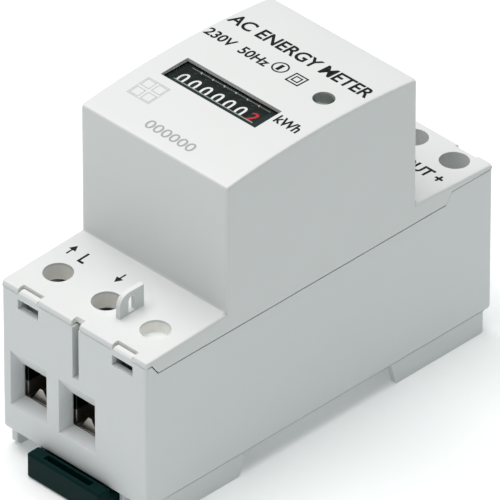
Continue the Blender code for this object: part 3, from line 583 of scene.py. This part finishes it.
def text_mesh(text, size, thickness, slices=0.0, align="CENTER", bold=0.0):
    """Points in millimetres and faces of a line of text. bold widens each stroke to both sides."""
    curve = bpy.data.curves.new("line", "FONT")
    curve.body = text
    curve.size = size
    curve.extrude = thickness / 2
    curve.offset = bold
    curve.resolution_u = 4
    curve.align_x = align
    item = bpy.data.objects.new("line", curve)
    bpy.context.scene.collection.objects.link(item)
    mesh = bpy.data.meshes.new_from_object(item.evaluated_get(bpy.context.evaluated_depsgraph_get()))
    bpy.data.objects.remove(item)
    bm = bmesh.new()
    bm.from_mesh(mesh)
    bpy.data.meshes.remove(mesh)
    bmesh.ops.remove_doubles(bm, verts=bm.verts, dist=1e-5)
    if slices:
        for level in np.arange(-size, size * 1.2, slices):
            parts = [*bm.verts, *bm.edges, *bm.faces]
            bmesh.ops.bisect_plane(bm, geom=parts, plane_co=(0, level, 0), plane_no=(0, 1, 0))
    bm.verts.index_update()
    points = np.array([tuple(vertex.co) for vertex in bm.verts])
    faces = [[vertex.index for vertex in face.verts] for face in bm.faces]
    bm.free()
    return points, faces


def joined(parts):
    """Several point and face lists as one."""
    points, faces, start = [], [], 0
    for more, sides in parts:
        points.append(more)
        faces += [[start + corner for corner in side] for side in sides]
        start += len(more)
    return np.concatenate(points), faces


# %% Wrap ten figures round each rim
FIGURE_HEIGHT = 3.3
FIGURE_SIZE = FIGURE_HEIGHT / CAP_SHARE
FIGURE_MIDDLE = FIGURE_HEIGHT / 2
FIGURE_WIDTH = 0.84
REST_ANGLE = math.radians(-1.25)
RED_SHARE = 0.86
INK = 0.03
FIGURES = [text_mesh(str(figure), FIGURE_SIZE, 2 * INK, slices=0.45, bold=0.045) for figure in range(10)]


def wrapped(points, x, angle, share):
    """Wraps flat points on the rim: across stays along X, and height is an arc down from the figure's
    top. share is the figure's part of the full height."""
    turn = angle + (FIGURE_MIDDLE + share * (points[:, 1] - FIGURE_HEIGHT)) / WHEEL_RADIUS
    reach = WHEEL_RADIUS + points[:, 2]
    return np.stack([x + FIGURE_WIDTH * points[:, 0], WHEEL_AXIS[0] + reach * np.sin(turn),
                     WHEEL_AXIS[1] + reach * np.cos(turn)], axis=1)


def figure_ring(number, shown, finish, share=1.0):
    """The ten figures of a wheel, with `shown` at the window. The next figure comes up from below."""
    x = FIRST_X + (number - 1) * WHEEL_PITCH
    parts = [(wrapped(points, x, REST_ANGLE - (figure - shown) * math.pi / 5, share), faces)
             for figure, (points, faces) in enumerate(FIGURES)]
    ring = new_piece(f"figures_{number}", BODY_OF[f"number_wheel_{number}"], finish, *joined(parts))


for number in range(1, WHEEL_COUNT):
    figure_ring(number, 0, white_ink)
figure_ring(WHEEL_COUNT, 2, red_ink, RED_SHARE)


# %% [markdown]
# ## The counter's mask and window
# The mask is a flat black plate with an opening for the figures. Two thin pale lines on its edges are painted
# highlights of the opening's rims, and six white studs are painted glints. A line is a profile carried round
# a rectangle
# that has no width: at each of the four corners the profile is pushed outwards both ways at once, which
# mitres the corner.

# %% Frames carried round a rectangle
def framed(profile, x, y):
    """A closed profile of (outward, height) points carried round the rectangle x by y."""
    out, height = np.array(profile, float).T
    sign = np.array([(-1, -1), (1, -1), (1, 1), (-1, 1)], float)
    corner = np.array([(x[a > 0], y[b > 0]) for a, b in sign])
    flat = corner[:, None, :] + out[None, :, None] * sign[:, None, :]
    return np.concatenate([flat, np.broadcast_to(height[None, :, None], (4, len(out), 1))], axis=2)


def frame_piece(name, body, finish, profile, x, y):
    points = framed(profile, x, y)
    return new_piece(name, body, finish, points.reshape(-1, 3), grid_faces(4, len(profile), True, True))


# %% Mask, painted edge highlights and glint studs
MASK_TOP = corners("register_mask")[1][2]
APERTURE_X = (FIRST_X - 1.2, FIRST_X + (WHEEL_COUNT - 1) * WHEEL_PITCH + 1.75)
APERTURE_Y = (WHEEL_AXIS[0] - 1.65, WHEEL_AXIS[0] + 2.40)
LINE_OUT = 0.14
LINE_WIDTH = 0.10
LINE_HALF = 0.05
softened("register_mask", mask_plastic, 0.06)
# Each pale line is a painted highlight along one edge of the opening.
for label, y in (("near", APERTURE_Y[0] - LINE_OUT), ("far", APERTURE_Y[1] + LINE_OUT)):
    line = frame_piece(f"mask_highlight_line_{label}", "case", edge_highlight_ink,
                       [(0.0, MASK_TOP - LINE_HALF), (0.0, MASK_TOP + LINE_HALF),
                        (LINE_WIDTH, MASK_TOP + LINE_HALF), (LINE_WIDTH, MASK_TOP - LINE_HALF)],
                       (APERTURE_X[0] + 0.8, APERTURE_X[1] - 0.1), (y, y))
STUD = [(0.0, MASK_TOP + 0.16), (0.13, MASK_TOP + 0.13), (0.20, MASK_TOP + 0.03), (0.20, MASK_TOP - 0.1),
        (0.0, MASK_TOP - 0.1)]
STUD_SIDES = 16
STUD_SHIFT = 0.45
stud_faces = grid_faces(STUD_SIDES, len(STUD), True, False).tolist()
stud_row = [turned(STUD, (FIRST_X + (i + 0.5) * WHEEL_PITCH + STUD_SHIFT, APERTURE_Y[1] + LINE_OUT, 0), "Z",
                   STUD_SIDES) for i in range(WHEEL_COUNT - 1)]
# The studs are coloured white as painted glints where the wheels meet.
studs = new_piece("mask_glint_studs", "case", white_ink,
                  *joined([(stud.reshape(-1, 3), stud_faces) for stud in stud_row]))
softened("window_lens", window_clear, 0.08)


# %% [markdown]
# ## Screws, spring and light pipe
# The clamp screws sit deep in their holes, so what shows is a plated head with a cross recess. The
# recess is already in the part, and a softened copy catches the light on its rim. The spring is a wire
# carried along a helix: the helix's own sideways and upward directions carry the wire's circle.

# %% Screws
for screw in ("line_in_screw", "line_out_screw", "neutral_screw", "pulse_screw_1", "pulse_screw_2"):
    softened(screw, zinc_steel, 0.08)


# %% The clip's spring, a wire helix
def helix_wire(low, high, turns, wire, sides=10, steps_per_turn=28):
    """A wire carried along a helix about Y that fills the box from low to high."""
    radius = (high[0] - low[0]) / 2 - wire
    middle = ((high[0] + low[0]) / 2, (high[2] + low[2]) / 2)
    along = np.linspace(0, 1, turns * steps_per_turn + 1)
    angle = 2 * np.pi * turns * along
    rise = low[1] + wire + (high[1] - low[1] - 2 * wire) * along
    outward = np.stack([np.cos(angle), np.zeros_like(angle), np.sin(angle)], axis=1)
    centre = np.stack([np.full_like(rise, middle[0]), rise, np.full_like(rise, middle[1])], 1)
    path = radius * outward + centre
    around = np.linspace(0, 2 * np.pi, sides, endpoint=False)
    ring = (np.cos(around)[None, :, None] * outward[:, None, :]
            + np.sin(around)[None, :, None] * np.array([0, 1, 0]))
    points = path[:, None, :] + wire * ring
    count = len(path)
    ends = [list(range(sides)), list(range((count - 1) * sides, count * sides))]
    return points.reshape(-1, 3), grid_faces(count, sides, False, True).tolist() + ends


SPRING_TURNS = 7
SPRING_WIRE = 0.25
spring_low, spring_high = corners("clip_spring")
spring = new_piece("spring_wire", "case", zinc_steel,
                   *helix_wire(spring_low, spring_high, SPRING_TURNS, SPRING_WIRE))
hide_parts("clip_spring")
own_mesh(spring)

# %% Light pipe
pipe_low, pipe_high = corners("light_pipe")
PIPE_AT = ((pipe_low + pipe_high) / 2)[:2]
PIPE_RADIUS = 1.65
FLANGE_RADIUS, FLANGE_Z = 2.5, (55.4, 56.3)
STEM_RADIUS, STEM_TOP = 1.1, 54.6
pipe_top = pipe_high[2]
pipe = turned_piece("indicator_window", "case", smoked,
                    [(0.0, pipe_top), (PIPE_RADIUS - 0.35, pipe_top - 0.03),
                     (PIPE_RADIUS - 0.1, pipe_top - 0.12), (PIPE_RADIUS, pipe_top - 0.35),
                     (PIPE_RADIUS, FLANGE_Z[1]), (FLANGE_RADIUS, FLANGE_Z[1]),
                     (FLANGE_RADIUS, FLANGE_Z[0]), (PIPE_RADIUS, FLANGE_Z[0]), (PIPE_RADIUS, STEM_TOP),
                     (STEM_RADIUS, STEM_TOP), (STEM_RADIUS, pipe_low[2]), (0.0, pipe_low[2])],
                    (*PIPE_AT, 0), "Z", 64, closed=False)
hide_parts("light_pipe")


# %% [markdown]
# ## Print on the case
# The print is real geometry that stands three hundredths of a millimetre above the moulding. The top
# is arched along the meter, so each point's height comes from the case itself: rays are dropped on the
# cover along a line, and the points read the heights in between.

# %% Heights of the cover along the meter
cover_mesh = bmesh.new()
cover_mesh.from_mesh(frame["nodes"]["top_cover"].data)
cover_tree = BVHTree.FromBMesh(cover_mesh)
cover_low, cover_high = corners("top_cover")
LINE_Y = np.linspace(cover_low[1] + 0.8, cover_high[1] - 0.8, 600)


def heights(x):
    """Height of the cover's upper surface at each of LINE_Y, along the line at x, in millimetres."""
    start = (cover_high[2] + 5) * MM
    hits = [cover_tree.ray_cast(Vector((x * MM, y * MM, start)), Vector((0, 0, -1)))[0] for y in LINE_Y]
    return np.array([hit.z / MM if hit else 0.0 for hit in hits])


CLEAR_LINE = heights(-15.0)
print("crown of the cover:", round(CLEAR_LINE.max(), 2))


def printed(name, parts, finish):
    """Lays flat parts, in millimetres on the plan of the meter, on the cover as ink."""
    points, faces = joined(parts)
    points = points.copy()
    points[:, 2] += np.interp(points[:, 1], LINE_Y, CLEAR_LINE)
    piece = new_piece(name, "case", finish, points, faces)


def lettering(text, left, base, cap, width=None, bold=0.05):
    """A line of text from `left`, standing on `base`, with capitals `cap` tall and a set total width."""
    points, faces = text_mesh(text, cap / CAP_SHARE, 2 * INK, align="LEFT", slices=1.5, bold=bold)
    points = points.copy()
    span = points[:, 0].max() - points[:, 0].min()
    points[:, 0] = left + (points[:, 0] - points[:, 0].min()) * (width / span if width else 1.0)
    points[:, 1] += base
    return points, faces


def bar(x, y, z=(-INK, INK)):
    """A box between two values on each axis, as thin as ink unless z is given."""
    points = np.array([(x[i], y[j], z[k]) for i in (0, 1) for j in (0, 1) for k in (0, 1)], float)
    return points, [[0, 1, 3, 2], [4, 6, 7, 5], [0, 4, 5, 1], [2, 3, 7, 6], [0, 2, 6, 4], [1, 5, 7, 3]]


def ring(x, y, radius, stroke, sides=48):
    """A circle of ink: a small rectangle carried round a centre."""
    points = turned([(radius - stroke, -INK), (radius, -INK), (radius, INK), (radius - stroke, INK)],
                    (x, y, 0), "Z", sides)
    return points.reshape(-1, 3), grid_faces(sides, 4, True, True).tolist()


def square(x, y, half, stroke):
    """A square outline of ink."""
    line = [(-stroke, -INK), (0, -INK), (0, INK), (-stroke, INK)]
    points = framed(line, (x - half, x + half), (y - half, y + half))
    return points.reshape(-1, 3), grid_faces(4, 4, True, True).tolist()


def arrow(x, tail, tip, stroke, head):
    """A straight arrow along Y: a shaft, and a triangle for its head."""
    way = math.copysign(1.0, tip - tail)
    neck = tip - way * head
    flat = np.array([(x - head * 0.55, neck), (x + head * 0.55, neck), (x, tip)])
    points = np.concatenate([np.c_[flat, np.full(3, -INK)], np.c_[flat, np.full(3, INK)]])
    wedge = (points, [[2, 1, 0], [3, 4, 5], [0, 1, 4, 3], [1, 2, 5, 4], [2, 0, 3, 5]])
    return [bar((x - stroke / 2, x + stroke / 2), sorted((tail, neck))), wedge]


# %% Lines of print
NEAR = cover_low[1]
printed("print_title", [lettering("AC ENERGY METER", -16.6, NEAR + 52.9, 3.0, 33.0, 0.09)], black_ink)
printed("print_rating", [lettering("230V  50Hz", -16.6, NEAR + 47.2, 2.3, 14.6, 0.07)], black_ink)
printed("print_unit", [lettering("kWh", 10.3, NEAR + 37.0, 2.3, 5.3, 0.08)], black_ink)
printed("print_symbols", [ring(0.1, NEAR + 49.1, 1.6, 0.30),
                          lettering("1", -0.3, NEAR + 48.2, 1.8, 0.7, 0.06),
                          square(4.6, NEAR + 48.5, 1.5, 0.30),
                          square(4.6, NEAR + 48.5, 0.80, 0.26)], black_ink)
printed("print_number", [lettering("000000", -5.2, NEAR + 21.7, 2.2, 11.2, 0.02)], grey_ink)
printed("print_line_mark", [lettering("L", -11.7, NEAR + 12.3, 2.8, 1.4, 0.08),
                            *arrow(-14.45, NEAR + 12.5, NEAR + 15.3, 0.30, 1.4),
                            *arrow(-2.8, NEAR + 15.2, NEAR + 12.4, 0.30, 1.4)], black_ink)
printed("print_pulse_mark", [lettering("OUT +", 6.2, NEAR + 71.6, 2.5, 9.2, 0.10)], black_ink)
sign_x, sign_y, quarter = -11.1, NEAR + 28.9, (-1.3, 1.3)
pictogram = [square(sign_x + dx, sign_y + dy, 1.05, 0.18) for dx in quarter for dy in quarter]
pictogram += [square(sign_x, sign_y, 2.65, 0.16)]
printed("print_pictogram", pictogram, pale_ink)


# %% [markdown]
# ## The joint of the two halves
# At both ends the halves meet on a land, a strip of the moulding that is set back a tenth of a
# millimetre and fills the joint. So only the long joints on the sides show as dark lines.

# %% Lands at the two ends
BASE_TOP = corners("base_housing")[1]
NOTCH_HALF = 1.0
SIDE_STRIP = 9.9
JOINT_Z = (29.3, 29.6)
SET_BACK, LAND = 0.12, 0.9
far_y, side_x = cover_high[1], BASE_TOP[0]
near_strip, far_strip = (NEAR + SET_BACK, NEAR + LAND), (far_y - LAND, far_y - SET_BACK)
lands = [bar((-side_x + SET_BACK, NOTCH_X - NOTCH_HALF), near_strip, JOINT_Z),
         bar((NOTCH_X + NOTCH_HALF, side_x - SET_BACK), near_strip, JOINT_Z),
         bar((-side_x + SET_BACK, side_x - SET_BACK), far_strip, JOINT_Z)]
for side in (-1, 1):
    lands.append(bar(sorted((side * (side_x - LAND), side * (side_x - SET_BACK))),
                     (far_y - SIDE_STRIP, far_y - LAND), JOINT_Z))
new_piece("joint_lands", "case", case_plastic, *joined(lands))


# %% [markdown]
# ## Studio
# The meter stands on a pale floor under one very large soft light, with an even room all round. Long
# glass from far away keeps the three edges nearly parallel.

# %% Floor
FLOOR_HALF = 3.0
floor_finish = Finish("pale_floor", roughness=0.9, Specular_IOR_Level=0.0)
paper = floor_finish.noise(0.02, 2.0)
floor_finish.set("Base Color", floor_finish.mix(paper, (0.805, 0.845, 0.84), (0.815, 0.855, 0.85)))
floor_finish.set("Emission Color", (1.0, 1.0, 1.0))
floor_finish.set("Emission Strength", 0.19)
floor_z = cad_bounds[0][2]
floor_mesh = bpy.data.meshes.new("floor")
floor_corners = [(x * FLOOR_HALF, y * FLOOR_HALF, floor_z) for x, y in ((-1, -1), (1, -1), (1, 1), (-1, 1))]
floor_mesh.from_pydata(floor_corners, [], [(0, 1, 2, 3)])
floor_mesh.materials.append(floor_finish.material)
floor = bpy.data.objects.new("floor", floor_mesh)
bpy.context.scene.collection.objects.link(floor)

# %% Lights
world = bpy.data.worlds.new("room")
bpy.context.scene.world = world
world.use_nodes = True
world.node_tree.nodes["Background"].inputs["Color"].default_value = (0.86, 1.0, 0.975, 1.0)
world.node_tree.nodes["Background"].inputs["Strength"].default_value = 0.18


def soft_light(name, place, size, power, colour=(1, 1, 1)):
    """A square area light that looks at the meter's middle."""
    light = bpy.data.lights.new(name, "AREA")
    light.shape = "SQUARE"
    light.size = size
    light.energy = power
    light.color = colour
    item = bpy.data.objects.new(name, light)
    item.location = place
    item.rotation_euler = (-Vector(place)).to_track_quat("-Z", "Y").to_euler()
    bpy.context.scene.collection.objects.link(item)


soft_light("top_softbox", (-0.16, -0.07, 1.2), 1.2, 19.4, (1.0, 0.945, 0.95))
bpy.context.scene.view_settings.view_transform = "Standard"

# %% Camera
AZIMUTH = math.radians(45.04)
ELEVATION = math.radians(35.48)
LENS = 1000.0
SENSOR = 36.0
VIEW_WIDTH = 85.36 * MM
AIM_RIGHT = 0.48 * MM
AIM_UP = 20.0 * MM
back = Vector((math.sin(AZIMUTH) * math.cos(ELEVATION), -math.cos(AZIMUTH) * math.cos(ELEVATION),
               math.sin(ELEVATION)))
right = Vector((math.cos(AZIMUTH), math.sin(AZIMUTH), 0.0))
up = back.cross(right)
distance = VIEW_WIDTH * LENS / SENSOR
camera = bpy.data.cameras.new("camera")
camera.lens = LENS
camera.sensor_width = SENSOR
camera.clip_end = 10.0
viewer = bpy.data.objects.new("camera", camera)
viewer.location = AIM_RIGHT * right + AIM_UP * up + distance * back
viewer.rotation_euler = back.to_track_quat("Z", "Y").to_euler()
bpy.context.scene.collection.objects.link(viewer)
bpy.context.scene.camera = viewer
print("camera distance", round(distance, 3))
